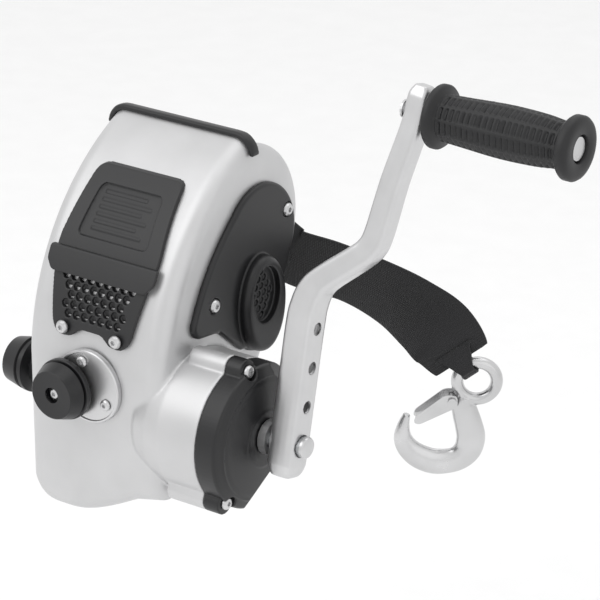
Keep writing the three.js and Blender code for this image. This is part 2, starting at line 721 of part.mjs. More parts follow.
function makeHubBolt() {
  return turnedX([
    [0, SHAFT_X[1] + GAP], [7.2, SHAFT_X[1] + GAP], [7.2, SHAFT_X[1] + 2.2], [5.4, SHAFT_X[1] + 3.6],
    [0, SHAFT_X[1] + 3.6],
  ]);
}

// ---------- strap and hook ----------

// The strap's centreline from the roll to the hook, and which way its width points there.
const strapRoute = [
  [[0, 60, 135.4], [1, 0, 0], STRAP_W],
  [[0, 90, 131], [1, 0, 0], STRAP_W],
  [[0, 113, 119], [1, 0, 0], STRAP_W],
  [[1, 129, 98], [0.98, 0, 0.2], STRAP_W],
  [[5, 145, 71], [0.86, 0.1, 0.5], STRAP_W],
  [[20, 158, 51], [0.2, -0.2, 0.95], STRAP_W],
  [[58, 163, 46.5], [0.05, -0.25, 0.96], STRAP_W],
  [[92, 165, 39], [0.15, -0.1, 0.97], STRAP_W],
  [[121, 163.5, 30], [0.42, 0.2, 0.88], STRAP_W],
  [[143.1, 162.5, 19.4], [0.66, 0.47, 0.58], STRAP_W],
  [[152.8, 169.4, 2.8], [0.66, 0.47, 0.58], 42],
];

function alongRoute(route, steps) {
  const place = new THREE.CatmullRomCurve3(route.map(([p]) => new THREE.Vector3(...p)));
  const width = new THREE.CatmullRomCurve3(route.map(([, w]) => new THREE.Vector3(...w)));
  const size = new THREE.CatmullRomCurve3(route.map(([, , s]) => new THREE.Vector3(s, 0, 0)));
  return Array.from({ length: steps + 1 }, (_, i) => {
    const t = i / steps;
    const tangent = place.getTangent(t);
    const across = width.getPoint(t);
    across.addScaledVector(tangent, -across.dot(tangent)).normalize();
    return { at: place.getPoint(t), across, face: tangent.cross(across), size: size.getPoint(t).x };
  });
}

// A flat band of webbing along a route.
function webbing(route, steps) {
  const positions = [];
  const index = [];
  const frames = alongRoute(route, steps);
  frames.forEach(({ at, across, face, size }) => {
    [[-1, -1], [1, -1], [1, 1], [-1, 1]].forEach(([a, b]) => {
      const p = at.clone().addScaledVector(across, a * size / 2).addScaledVector(face, b * STRAP_T / 2);
      positions.push(p.x, p.y, p.z);
    });
  });
  for (let i = 0; i < steps; i += 1) {
    for (let k = 0; k < 4; k += 1) {
      const [p, q] = [i * 4 + k, i * 4 + (k + 1) % 4];
      index.push(p, q, q + 4, p, q + 4, p + 4);
    }
  }
  const last = steps * 4;
  index.push(0, 2, 1, 0, 3, 2, last, last + 1, last + 2, last, last + 2, last + 3);
  const g = new THREE.BufferGeometry();
  g.setAttribute('position', new THREE.Float32BufferAttribute(positions, 3));
  g.setIndex(index);
  return solid(g);
}

const FOLD_ANGLE = 125.6;                // where the strap goes round the eye, degrees in the hook's plane
const EYE_R = 13.5;
const EYE_BAR_R = 4.3;

// A point in the hook's plane: `across` along HOOK_ACROSS and `up` along Z, from the eye's middle.
function inHookPlane(across, up, out = 0) {
  const outward = new THREE.Vector3(HOOK_ACROSS.y, -HOOK_ACROSS.x, 0);
  return EYE.clone().addScaledVector(HOOK_ACROSS, across).add(new THREE.Vector3(0, 0, up))
    .addScaledVector(outward, out);
}

function makeStrapLoop() {
  const away = new THREE.Vector2(Math.cos(rad(FOLD_ANGLE)), Math.sin(rad(FOLD_ANGLE)));
  const along = [-away.y, away.x];
  const width = HOOK_ACROSS.clone().multiplyScalar(-along[0]).add(new THREE.Vector3(0, 0, -along[1]));
  const centre = EYE_R;
  const route = [];
  const turns = 8;
  for (let i = 0; i <= turns; i += 1) {
    const a = -Math.PI / 2 + Math.PI * (i / turns - 0.5) + Math.PI / 2;
    const out = 7.2 * Math.sin(a);
    const towards = centre - 7.2 * Math.cos(a);
    const p = inHookPlane(away.x * towards, away.y * towards, out);
    route.push([p.toArray(), width.toArray(), 11]);
  }
  const tipFront = inHookPlane(away.x * (centre + 15), away.y * (centre + 15), 2.2);
  const tipBack = inHookPlane(away.x * (centre + 15), away.y * (centre + 15), -2.2);
  route.unshift([tipBack.toArray(), width.toArray(), 28]);
  route.push([tipFront.toArray(), width.toArray(), 28]);
  return webbing(route, 26);
}

// A forged bar in the hook's plane; each point is [across, up, half width], with one half thickness.
function forged(points, thickness) {
  const ring = 8;
  const positions = [];
  const index = [];
  points.forEach(([across, up, half, flat], i) => {
    const a = points[Math.max(0, i - 1)];
    const b = points[Math.min(points.length - 1, i + 1)];
    const tangent = new THREE.Vector2(b[0] - a[0], b[1] - a[1]).normalize();
    for (let k = 0; k < ring; k += 1) {
      const angle = (k * 2 * Math.PI) / ring;
      const s = half * Math.cos(angle);
      const out = (flat ?? thickness) * Math.sin(angle);
      const p = inHookPlane(across + tangent.y * s, up - tangent.x * s, out);
      positions.push(p.x, p.y, p.z);
    }
  });
  for (let i = 0; i + 1 < points.length; i += 1) {
    for (let k = 0; k < ring; k += 1) {
      const [p, q] = [i * ring + k, i * ring + (k + 1) % ring];
      index.push(p, q, q + ring, p, q + ring, p + ring);
    }
  }
  const last = (points.length - 1) * ring;
  for (let k = 1; k + 1 < ring; k += 1) {
    index.push(0, k + 1, k, last, last + k, last + k + 1);
  }
  const g = new THREE.BufferGeometry();
  g.setAttribute('position', new THREE.Float32BufferAttribute(positions, 3));
  g.setIndex(index);
  return solid(g);
}

// Places a geometry drawn in its own X-Y plane into the hook's plane.
function toHookPlane(geometry) {
  const outward = new THREE.Vector3(HOOK_ACROSS.y, -HOOK_ACROSS.x, 0);
  const m = new THREE.Matrix4().makeBasis(HOOK_ACROSS, new THREE.Vector3(0, 0, 1), outward);
  return solid(geometry.applyMatrix4(m.setPosition(EYE)));
}

const LATCH_PIN = [-17, -13];

function makeHook() {
  const ring = toHookPlane(new THREE.TorusGeometry(EYE_R, EYE_BAR_R, 8, 20));
  const body = forged([
    [-8, -12, 5], [-9, -17, 8], [-7.5, -24, 9], [-5, -33, 9.6], [-3.3, -43, 10], [-6, -53, 9.6],
    [-14, -59.5, 9], [-27, -61, 9.4], [-38, -57.5, 9], [-46, -51, 7.8], [-50, -43, 6.4],
    [-49.8, -34, 4.4], [-47.5, -25, 2.4],
  ], 5.4);
  const pinHole = new THREE.CylinderGeometry(2, 2, 30, 12).rotateX(Math.PI / 2);
  const eyelet = new THREE.CylinderGeometry(4.6, 4.6, 5, 16).rotateX(Math.PI / 2);
  const pinPlace = new THREE.Matrix4().makeTranslation(LATCH_PIN[0], LATCH_PIN[1], 0);
  return cut(
    join(ring, body, toHookPlane(eyelet.applyMatrix4(pinPlace))),
    toHookPlane(pinHole.applyMatrix4(pinPlace)),
  );
}

function makeLatchPin() {
  const pin = new THREE.LatheGeometry([
    [0, -8.6], [3, -8.6], [3, -6.9], [1.7, -6.9], [1.7, 6.9], [3, 6.9], [3, 8.6], [0, 8.6],
  ].map(([r, h]) => new THREE.Vector2(r, h)), 14).rotateX(Math.PI / 2);
  return toHookPlane(pin.translate(LATCH_PIN[0], LATCH_PIN[1], 0));
}

function makeLatch() {
  const sheet = (z0) => extruded(rounded([
    [-22, -8.5], [-13.5, -8.5], [-13, -17], [-39, -30], [-43, -29], [-42, -24.5],
  ], 3), 0.9).translate(0, 0, z0);
  const bridge = extruded(rounded([[-24, -19.5], [-41, -28.5], [-42, -26], [-25, -17]], 1), 13);
  const bore = new THREE.CylinderGeometry(2, 2, 30, 12).rotateX(Math.PI / 2);
  return cut(
    join(toHookPlane(sheet(5.7)), toHookPlane(sheet(-6.6)), toHookPlane(bridge.translate(0, 0, -6.5))),
    toHookPlane(bore.translate(LATCH_PIN[0], LATCH_PIN[1], 0)),
  );
}

// ---------- controls ----------

function makeSelectorKnob() {
  const { x, z, r } = SELECTOR_KNOB;
  const knob = turnedY([
    [0, -62], [r - 4.5, -62], [r - 1, -52.5], [r - 2.5, -52], [r - 2.5, -50.8], [r, -50.3],
    [r, -46.1], [5.8, -46.1], [5.8, -31], [0, -31],
  ], x, z, 20);
  return cut(knob, rodY(5.2, -66, -57.4, x, z, 20));
}

function makeShiftKnob() {
  return cut(turnedX([
    [0, -100], [13, -100], [15.8, -98], [18.4, -86], [17, -85], [17, -83.5], [19, -82.5], [19, -80],
    [12, -78], [12, -52], [0, -52],
  ], 0, 0, 20), rodX(4, -60, -40));
}

// ---------- assembly ----------

const winch = new THREE.Group();
winch.position.set(0, -(BASE.y0 + BASE.y1) / 2, -BASE.z0);

function put(parent, name, finish, manifold) {
  const { vertProperties, triVerts } = manifold.getMesh();
  const g = new THREE.BufferGeometry();
  g.setAttribute('position', new THREE.BufferAttribute(new Float32Array(vertProperties), 3));
  g.setIndex(new THREE.BufferAttribute(new Uint32Array(triVerts), 1));
  const mesh = new THREE.Mesh(g, material(finish));
  mesh.name = name;
  parent.add(mesh);
}

const casing = makeCasing();
put(winch, 'frame', 'steel', makeFrame());
put(winch, 'front_housing', 'aluminium', casing.front);
put(winch, 'rear_shell', 'plastic', casing.rear);

const sideCover = makeSideCover();
put(winch, 'side_cover_right', 'plastic', sideCover);
put(winch, 'side_cover_left', 'plastic', sideCover.mirror([1, 0, 0]));
coverScrews.forEach(([y, z], i) => {
  const right = screw([FLANK_X + COVER_SEAT + 2 * GAP, y, z], '+X');
  put(winch, `side_cover_screw_right_${i + 1}`, 'zinc', right);
  put(winch, `side_cover_screw_left_${i + 1}`, 'zinc', right.mirror([1, 0, 0]));
});

put(winch, 'gear_cover', 'plastic', makeGearCover());
neckScrewPlaces.forEach(([y, z], i) => {
  const head = [NECK.end + NECK_SEAT + 2 * GAP, y, z];
  put(winch, `gear_cover_screw_${i + 1}`, 'zinc', screw(head, '+X', 4.4, 3, 22));
});

put(winch, 'label_bezel', 'label', makeBezel());
put(winch, 'bezel_band', 'label', makeBand());
bezelScrews.forEach(([x, z], i) => {
  put(winch, `bezel_screw_${i + 1}`, 'zinc', screw([x, hoodY(z - 4.6, -3.2) - GAP, z], '-Y'));
});

put(winch, 'selector_plate', 'zinc', cut(
  rodY(SELECTOR_PLATE.r, FRONT_Y - 3.3, FRONT_Y - GAP, SELECTOR_PLATE.x, SELECTOR_PLATE.z, FINE_SEGMENTS),
  rodY(6.1, -60, -20, SELECTOR_KNOB.x, SELECTOR_KNOB.z),
  ...plateScrews.map(([x, z]) => rodY(2.4, -60, -20, x, z, 6)),
));
plateScrews.forEach(([x, z], i) => {
  put(winch, `selector_plate_screw_${i + 1}`, 'zinc', screw([x, FRONT_Y - 3.6, z], '-Y', 3.9, 2.2));
});
put(winch, 'selector_knob', 'plastic', makeSelectorKnob());
put(winch, 'selector_knob_screw', 'zinc', rodY(4, -59.6, -57.7, SELECTOR_KNOB.x, SELECTOR_KNOB.z, 16));

put(winch, 'shift_knob', 'plastic', makeShiftKnob());
put(winch, 'shift_rod', 'steel', rodX(3.6, -59.5, 5, 0, 0, 16));

put(winch, 'drum_axle', 'steel', rodX(AXLE_R, -51, 51, DRUM_AXIS.y, DRUM_AXIS.z));
put(winch, 'drum', 'steel', makeDrum());
put(winch, 'drum_gear', 'steel', makeDrumGear());
put(winch, 'strap_roll', 'webbing', tubeX(
  16.3, ROLL_R, -STRAP_W / 2, STRAP_W / 2, DRUM_AXIS.y, DRUM_AXIS.z, FINE_SEGMENTS,
));

put(winch, 'idler_pin', 'steel', rodX(5, ...IDLER_PIN_X, idlerAt.y, idlerAt.z, 20));
put(winch, 'idler_gear', 'steel', cut(
  gearX(IDLER, ...GEAR_X, idlerAt.y, idlerAt.z, { turn: idlerTurn }),
  rodX(5.3, 20, 60, idlerAt.y, idlerAt.z, 20),
));
put(winch, 'planet_carrier', 'steel', makeCarrier());
put(winch, 'sun_gear', 'steel', cut(gearX(SUN, ...EPICYCLIC_X, 0, 0), rodX(SHAFT_R + GAP, 60, 90)));
planetPlaces.forEach((place, i) => {
  put(winch, `planet_gear_${i + 1}`, 'steel', makePlanet(place));
  put(winch, `planet_pin_${i + 1}`, 'steel', makePlanetPin(place));
});
put(winch, 'ring_gear', 'steel', makeRingGear());
put(winch, 'shaft_bush_left', 'brass', tubeX(SHAFT_R + GAP, SHAFT_R + 3, -51, -44));
put(winch, 'shaft_bush_right', 'brass', tubeX(SLEEVE_R + GAP, SLEEVE_BUSH_R, 45, 50));
put(winch, 'drive_shaft', 'steel', cut(rodX(SHAFT_R, ...SHAFT_X), rodX(4.2, -60, 12, 0, 0, 16)));
put(winch, 'ratchet_wheel', 'steel', makeRatchetWheel());
put(winch, 'pawl_pin', 'steel', rodX(PAWL_PIN.r, -50, 50, PAWL_PIN.y, PAWL_PIN.z, 20));
put(winch, 'ratchet_pawl', 'steel', makePawl());

const crank = new THREE.Group();
crank.rotation.x = -rad(CRANK_LEAN);
winch.add(crank);
put(crank, 'crank_arm', 'zinc', makeCrankArm());
put(crank, 'hub_washer_inner', 'zinc', tubeX(SHAFT_R + GAP, 12, 114, 119.5));
put(crank, 'hub_bolt', 'zinc', makeHubBolt());
put(crank, 'grip', 'rubber', makeGrip());
put(crank, 'grip_bolt', 'zinc', makeGripBolt());

put(winch, 'strap_tail', 'webbing', webbing(strapRoute, 40));
put(winch, 'strap_loop', 'webbing', makeStrapLoop());
put(winch, 'hook', 'zinc', makeHook());
put(winch, 'latch_pin', 'zinc', makeLatchPin());
put(winch, 'hook_latch', 'zinc', makeLatch());

const part = new THREE.Group();
part.add(winch);
export default part;
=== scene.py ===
# Two-speed boat trailer winch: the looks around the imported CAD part.
# Sizes are in millimetres from the crank shaft's axis, and at() turns them into the row's metres.
# X runs along the shaft towards the crank, Y towards the back and Z up.
import json
import math

import bmesh
import bpy
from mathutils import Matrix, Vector


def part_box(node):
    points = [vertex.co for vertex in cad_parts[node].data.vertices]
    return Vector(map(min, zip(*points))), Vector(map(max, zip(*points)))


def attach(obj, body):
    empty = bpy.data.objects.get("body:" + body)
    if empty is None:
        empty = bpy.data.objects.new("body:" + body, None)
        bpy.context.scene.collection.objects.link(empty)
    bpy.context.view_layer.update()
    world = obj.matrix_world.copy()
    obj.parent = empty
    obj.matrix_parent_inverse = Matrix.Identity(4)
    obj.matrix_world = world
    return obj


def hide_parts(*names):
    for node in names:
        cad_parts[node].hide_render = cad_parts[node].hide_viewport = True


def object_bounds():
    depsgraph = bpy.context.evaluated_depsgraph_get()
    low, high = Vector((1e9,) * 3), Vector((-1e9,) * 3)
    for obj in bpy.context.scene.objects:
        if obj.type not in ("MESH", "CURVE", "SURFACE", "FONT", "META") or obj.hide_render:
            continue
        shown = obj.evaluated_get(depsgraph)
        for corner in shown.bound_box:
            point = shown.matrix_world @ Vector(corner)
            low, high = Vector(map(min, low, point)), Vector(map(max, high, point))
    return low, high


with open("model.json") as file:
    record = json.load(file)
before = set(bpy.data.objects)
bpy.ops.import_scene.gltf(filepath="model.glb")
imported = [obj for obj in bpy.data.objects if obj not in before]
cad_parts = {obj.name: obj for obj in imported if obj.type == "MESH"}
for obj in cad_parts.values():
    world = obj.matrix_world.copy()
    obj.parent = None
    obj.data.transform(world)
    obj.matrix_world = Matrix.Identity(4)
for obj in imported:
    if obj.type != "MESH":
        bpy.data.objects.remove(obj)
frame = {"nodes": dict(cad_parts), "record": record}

MM = 0.001
CAD_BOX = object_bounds()

# ---------- driving dimensions ----------

FLANK_X = 57
EDGE = 12
REAR_RIM = 4                           # how far the rear shell shows round the flat flanks
WALL = 3.5
GAP = 0.3
FRONT_Y = -40
NOSE_BOTTOM = -77
HOOD = (128, 20, 168.5)                # y, z and radius of the arc over the front of the drum
BACK = (54, 110, 64.4)                 # the same for the arc over the back
BACK_END = -30
LIP_RISE = 3.4                         # the rear shell's lip over the housing
LIP_END_Z = 163                        # the rear shell's lip stops here at each shoulder
NECK = (-0.5, -2)
NECK_R = 49
NECK_END = 91.3
NECK_SEAT = 12                         # a gear cover screw's seat, from the cover's back
LOBE_R = 8                             # round each of the gear cover's screws
CARRIER_ROOM_R = 38                    # inside the neck, ahead of the ring gear
RING_BORE_R = 44.6
STEM_HOLE_R = 6.1                      # for the selector knob's stem
BEZEL_T = 3.2
COVER_FACETS = ((-61, 2), (43, 9))     # the way each facet faces, and how far from the back it starts
FACET_SLOPE = math.radians(52)
COVER_T = 4                            # side cover
COVER_SEAT = 2.5
HUB_BOSS = (62, 60, 22, 34)            # y, z and half sizes of the side cover's boss
BOSS_HEIGHT = 13
BOSS_POCKET = (60, 68, 14.5, 20)
POCKET_DEPTH = 5
CRANK_LEAN = math.radians(13)
CRANK_RADIUS = 230
CRANK_HOLE_PITCH = 26
CRANK_X = 131
GRIP_X = (206, 310)
CRANK_STEPS = 150
HOOK_STEPS = 110
STRAP_STEPS = 220
STRAP_ACROSS_STEPS = 16
STRAP_T = 1.6
EYE = Vector((162, 176, -13))
HOOK_ACROSS = Vector((0.813, 0.582, 0))
HOOK_OUT = Vector((0.582, -0.813, 0))
UP = Vector((0, 0, 1))


def middle(node):
    low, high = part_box(node)
    return (low + high) / 2


SHAFT = middle("drive_shaft")


def at(x, y, z):
    return Vector((x * MM, SHAFT.y + y * MM, SHAFT.z + z * MM))


def on_crank(x, y, z):
    c, s = math.cos(CRANK_LEAN), math.sin(CRANK_LEAN)
    return at(x, y * c + z * s, z * c - y * s)


def in_hook(across, up, out=0):
    p = EYE + HOOK_ACROSS * across + UP * up + HOOK_OUT * out
    return at(*p)


# ---------- camera ----------

AZIMUTH = math.radians(35.6)
ELEVATION = math.radians(23)
CAMERA_DISTANCE = 2.127
CAMERA_TARGET = at(78.1, 85.75, 57.2)


def make_camera():
    data = bpy.data.cameras.new("camera")
    data.lens = 191.4
    data.sensor_width = 36
    camera = bpy.data.objects.new("camera", data)
    back = Vector((
        math.sin(AZIMUTH) * math.cos(ELEVATION),
        -math.cos(AZIMUTH) * math.cos(ELEVATION),
        math.sin(ELEVATION),
    ))
    camera.location = CAMERA_TARGET + back * CAMERA_DISTANCE
    camera.rotation_mode = "QUATERNION"
    camera.rotation_quaternion = (-back).to_track_quat("-Z", "Y")
    bpy.context.collection.objects.link(camera)
    bpy.context.scene.camera = camera


make_camera()


# ---------- materials ----------

def surface(name, color, roughness, metallic=0.0, grain=900, bump=0.05, vary=0.12, rough_vary=0.08,
            **sockets):
    """A material whose colour and roughness drift slowly and whose surface has a fine grain."""
    material = bpy.data.materials.new(name)
    material.use_nodes = True
    nodes, links = material.node_tree.nodes, material.node_tree.links
    shader = nodes["Principled BSDF"]
    shader.inputs["Metallic"].default_value = metallic
    for socket, value in sockets.items():
        shader.inputs[socket.replace("_", " ")].default_value = value
    place = nodes.new("ShaderNodeTexCoord")
    drift = nodes.new("ShaderNodeTexNoise")
    drift.inputs["Scale"].default_value = 28
    drift.inputs["Detail"].default_value = 5
    links.new(place.outputs["Object"], drift.inputs["Vector"])
    shades = nodes.new("ShaderNodeValToRGB")
    shades.color_ramp.elements[0].position = 0.3
    shades.color_ramp.elements[1].position = 0.7
    shades.color_ramp.elements[0].color = [c * (1 - vary) for c in color] + [1]
    shades.color_ramp.elements[1].color = [min(1, c * (1 + vary)) for c in color] + [1]
    links.new(drift.outputs["Fac"], shades.inputs["Fac"])
    links.new(shades.outputs["Color"], shader.inputs["Base Color"])
    fine = nodes.new("ShaderNodeTexNoise")
    fine.inputs["Scale"].default_value = grain
    fine.inputs["Detail"].default_value = 3
    links.new(place.outputs["Object"], fine.inputs["Vector"])
    rough = nodes.new("ShaderNodeMapRange")
    rough.inputs["To Min"].default_value = roughness - rough_vary
    rough.inputs["To Max"].default_value = roughness + rough_vary
    links.new(drift.outputs["Fac"], rough.inputs["Value"])
    links.new(rough.outputs["Result"], shader.inputs["Roughness"])
    relief = nodes.new("ShaderNodeBump")
    relief.inputs["Strength"].default_value = bump
    relief.inputs["Distance"].default_value = 0.0004
    links.new(fine.outputs["Fac"], relief.inputs["Height"])
    links.new(relief.outputs["Normal"], shader.inputs["Normal"])
    return material


def woven(name, color):
    """Webbing: ribs across the strap and yarns along it, drawn in the strap's own lengths."""
    material = surface(name, color, 0.85, grain=2500, bump=0.1, vary=0.3, Sheen_Weight=0.12)
    nodes, links = material.node_tree.nodes, material.node_tree.links
    uv = nodes.new("ShaderNodeUVMap")
    heights = []
    for direction, pitch in (("Y", 1.7), ("X", 1.3)):
        wave = nodes.new("ShaderNodeTexWave")
        wave.bands_direction = direction
        wave.inputs["Scale"].default_value = 1000 * math.pi / (10 * pitch)
        wave.inputs["Distortion"].default_value = 0.6
        links.new(uv.outputs["UV"], wave.inputs["Vector"])
        heights.append(wave.outputs["Fac"])
    both = nodes.new("ShaderNodeMath")
    both.operation = "MULTIPLY"
    links.new(heights[0], both.inputs[0])
    links.new(heights[1], both.inputs[1])
    relief = nodes.new("ShaderNodeBump")
    relief.inputs["Strength"].default_value = 0.7
    relief.inputs["Distance"].default_value = 0.0006
    links.new(both.outputs["Value"], relief.inputs["Height"])
    links.new(relief.outputs["Normal"], nodes["Principled BSDF"].inputs["Normal"])
    return material


MATERIALS = {
    "cast_housing": surface("cast_housing", (0.59, 0.59, 0.595), 0.4, 0.6, 1400, 0.12, 0.04),
    "black_plastic": surface("black_plastic", (0.008, 0.008, 0.009), 0.36, 0, 1600, 0.12, 0.15),
    "bezel_plastic": surface("bezel_plastic", (0.014, 0.014, 0.015), 0.42, 0, 1600, 0.12, 0.12),
    "knob_plastic": surface("knob_plastic", (0.006, 0.006, 0.007), 0.34, 0, 1500, 0.1, 0.15),
    "zinc_plate": surface("zinc_plate", (0.62, 0.62, 0.625), 0.3, 0.92, 700, 0.05, 0.06),
    "forged_zinc": surface("forged_zinc", (0.6, 0.6, 0.605), 0.25, 0.95, 350, 0.16, 0.1),
    "plain_steel": surface("plain_steel", (0.42, 0.43, 0.44), 0.38, 0.95, 800, 0.06, 0.08),
    "bronze_bush": surface("bronze_bush", (0.6, 0.42, 0.2), 0.4, 0.9, 900, 0.08, 0.1),
    "grip_rubber": surface("grip_rubber", (0.008, 0.008, 0.009), 0.5, 0, 1800, 0.15, 0.15),
    "webbing": woven("webbing", (0.012, 0.012, 0.013)),
}


# ---------- mesh tools ----------

def new_object(name, verts, faces):
    mesh = bpy.data.meshes.new(name)
    mesh.from_pydata([tuple(v) for v in verts], [], faces)
    work = bmesh.new()
    work.from_mesh(mesh)
    bmesh.ops.remove_doubles(work, verts=work.verts, dist=1e-6)
    bmesh.ops.recalc_face_normals(work, faces=work.faces)
    work.to_mesh(mesh)
    work.free()
    obj = bpy.data.objects.new(name, mesh)
    bpy.context.collection.objects.link(obj)
    return obj


def loft(name, rings, closed=False):
    """Skins rings that all have the same number of points, with a face on each end unless closed."""
    count = len(rings[0])
    verts = [p for ring in rings for p in ring]
    faces = []
    for i in range(len(rings) if closed else len(rings) - 1):
        j = (i + 1) % len(rings)
        for k in range(count):
            n = (k + 1) % count
            faces.append((i * count + k, i * count + n, j * count + n, j * count + k))
    if not closed:
        faces.append(tuple(range(count)))
        faces.append(tuple(range((len(rings) - 1) * count, len(rings) * count)))
    return new_object(name, verts, faces)


def applied(obj):
    graph = bpy.context.evaluated_depsgraph_get()
    mesh = bpy.data.meshes.new_from_object(obj.evaluated_get(graph))
    obj.modifiers.clear()
    obj.data = mesh
    return obj


def combine(obj, tool, operation):
    step = obj.modifiers.new("step", "BOOLEAN")
    step.object = tool
    step.operation = operation
    step.solver = "EXACT"
    applied(obj)
    bpy.data.objects.remove(tool)
    return obj


def cut(obj, *tools):
    for tool in tools:
        combine(obj, tool, "DIFFERENCE")
    return obj


def join(obj, *tools):
    for tool in tools:
        combine(obj, tool, "UNION")
    return obj


def soften(obj, voxel, rounds):
    """Rounds every edge a little, as casting and moulding do."""
    remesh = obj.modifiers.new("remesh", "REMESH")
    remesh.mode = "VOXEL"
    remesh.voxel_size = voxel * MM
    smooth = obj.modifiers.new("smooth", "SMOOTH")
    smooth.factor = 0.5
    smooth.iterations = rounds
    return applied(obj)


def placed(obj, body, slot, *nodes, angle=40):
    """Gives a finished piece its finish, its body and the CAD nodes that it stands for."""
    for polygon in obj.data.polygons:
        polygon.use_smooth = True
    obj.data.set_sharp_from_angle(angle=math.radians(angle))
    obj.data.materials.clear()
    obj.data.materials.append(MATERIALS[slot])
    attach(obj, body)
    if nodes:
        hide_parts(*nodes)
    return obj


def arc(y, z, r, start, end, steps):
    """Points on an arc, with angles in degrees, both ends included."""
    turn = [math.radians(start + (end - start) * i / steps) for i in range(steps + 1)]
    return [(y + r * math.cos(a), z + r * math.sin(a)) for a in turn]


def bezier(p0, p1, p2, p3, steps):
    points = []
    for i in range(steps + 1):
        t = i / steps
        weights = ((1 - t) ** 3, 3 * t * (1 - t) ** 2, 3 * t * t * (1 - t), t ** 3)
        points.append(tuple(sum(w * p[k] for w, p in zip(weights, (p0, p1, p2, p3))) for k in (0, 1)))
    return points


def between(end, bend):
    """The handle that makes a cubic curve follow a quadratic one with this bend."""
    return tuple(e + (b - e) * 2 / 3 for e, b in zip(end, bend))


def oval(y, z, half_y, half_z, inset=0.0, steps=64):
    turn = [2 * math.pi * i / steps for i in range(steps)]
    return [(y + (half_y - inset) * math.cos(a), z + (half_z - inset) * math.sin(a)) for a in turn]


def rounded(points, r, steps=6):
    """A closed outline with its corners rounded."""
    out = []
    corners = [Vector(p) for p in points]
    for i, p in enumerate(corners):
        before, after = corners[i - 1], corners[(i + 1) % len(corners)]
        reach = min(r, (p - before).length / 2.05, (p - after).length / 2.05)
        enter = p + (before - p).normalized() * reach
        leave = p + (after - p).normalized() * reach
        for k in range(steps + 1):
            t = k / steps
            q = enter * (1 - t) ** 2 + p * 2 * t * (1 - t) + leave * t * t
            out.append((q.x, q.y))
    return out


def prism_x(name, outline, x0, x1):
    return loft(name, [[at(x, y, z) for y, z in outline] for x in (x0, x1)])


def prism_y(name, outline, y0, y1):
    return loft(name, [[at(x, y, z) for x, z in outline] for y in (y0, y1)])


def block(name, x0, x1, y0, y1, z0, z1):
    return prism_x(name, [(y0, z0), (y1, z0), (y1, z1), (y0, z1)], x0, x1)


def lathe(name, profile, axis, a=0.0, b=0.0, segments=96, place=at):
    """Turns [radius, along] about a line along X through (y, z) or along Y through (x, z)."""
    rings = []
    for r, s in profile:
        ring = []
        for i in range(segments):
            u = a + r * math.cos(2 * math.pi * i / segments)
            v = b + r * math.sin(2 * math.pi * i / segments)
            ring.append(place(s, u, v) if axis == "X" else place(u, s, v))
        rings.append(ring)
    return loft(name, rings, closed=profile[0][0] > 0)


def rod(name, axis, r, s0, s1, a=0.0, b=0.0, segments=48, place=at):
    return lathe(name, [(0, s0), (r, s0), (r, s1), (0, s1)], axis, a, b, segments, place)


def spline(points, steps):
    """Points along a smooth line through the given ones; each may carry widths after its place."""
    ends = [
        [2 * a - b for a, b in zip(points[0], points[1])],
        [2 * a - b for a, b in zip(points[-1], points[-2])],
    ]
    padded = [ends[0], *points, ends[1]]
    out = []
    for i in range(steps + 1):
        t = (len(points) - 1) * i / steps
        k = min(int(t), len(points) - 2)
        f = t - k
        p0, p1, p2, p3 = padded[k:k + 4]
        out.append([
            0.5 * (2 * b + (c - a) * f + (2 * a - 5 * b + 4 * c - d) * f * f
                   + (3 * b - a - 3 * c + d) * f ** 3)
            for a, b, c, d in zip(p0, p1, p2, p3)
        ])
    return out


# ---------- strap ----------

# Place of the strap's middle, the way its width points, and its width, from the roll to the hook.
STRAP_ROUTE = [
    (0, 60, 135.4, 1, 0, 0, 50.8),
    (0, 90, 131, 1, 0, 0, 50.8),
    (0, 113, 119, 1, 0, 0, 50.8),
    (1, 129, 98, 0.98, 0, 0.2, 50.8),
    (5, 145, 71, 0.86, 0.1, 0.5, 50.8),
    (20, 158, 51, 0.2, -0.2, 0.95, 50.8),
    (58, 163, 46.5, 0.05, -0.25, 0.96, 50.8),
    (92, 165, 39, 0.15, -0.1, 0.97, 50.8),
    (121, 163.5, 30, 0.42, 0.2, 0.88, 50.8),
    (143.1, 162.5, 19.4, 0.66, 0.47, 0.58, 50.8),
    (152.8, 169.4, 2.8, 0.66, 0.47, 0.58, 42),
]
FOLD_ANGLE = math.radians(125.6)
EYE_R = 13.5
EYE_BAR_R = 4.3


def ribbon(name, route, steps):
    """A flat band that thins at its edges. Returns it, its line in the row's frame and its length in mm."""
    stations = spline(route, steps)
    places = [Vector(s[:3]) for s in stations]
    rings, total = [], 0
    for i, s in enumerate(stations):
        tangent = (places[min(i + 1, steps)] - places[max(i - 1, 0)]).normalized()
        across = Vector(s[3:6])
        across = (across - tangent * across.dot(tangent)).normalized()
        face = tangent.cross(across)
        if i:
            total += (places[i] - places[i - 1]).length
        row = []
        for side in (1, -1):
            for k in range(STRAP_ACROSS_STEPS + 1):
                u = (2 * k / STRAP_ACROSS_STEPS - 1) * side
                edge = max(0, abs(u) - 0.93) / 0.07
                half = STRAP_T / 2 * (1 - 0.35 * edge)
                row.append(at(*(places[i] + across * (u * s[6] / 2) + face * (side * half))))
        rings.append(row)
    band = loft(name, rings)
    return band, [at(*p) for p in places], total


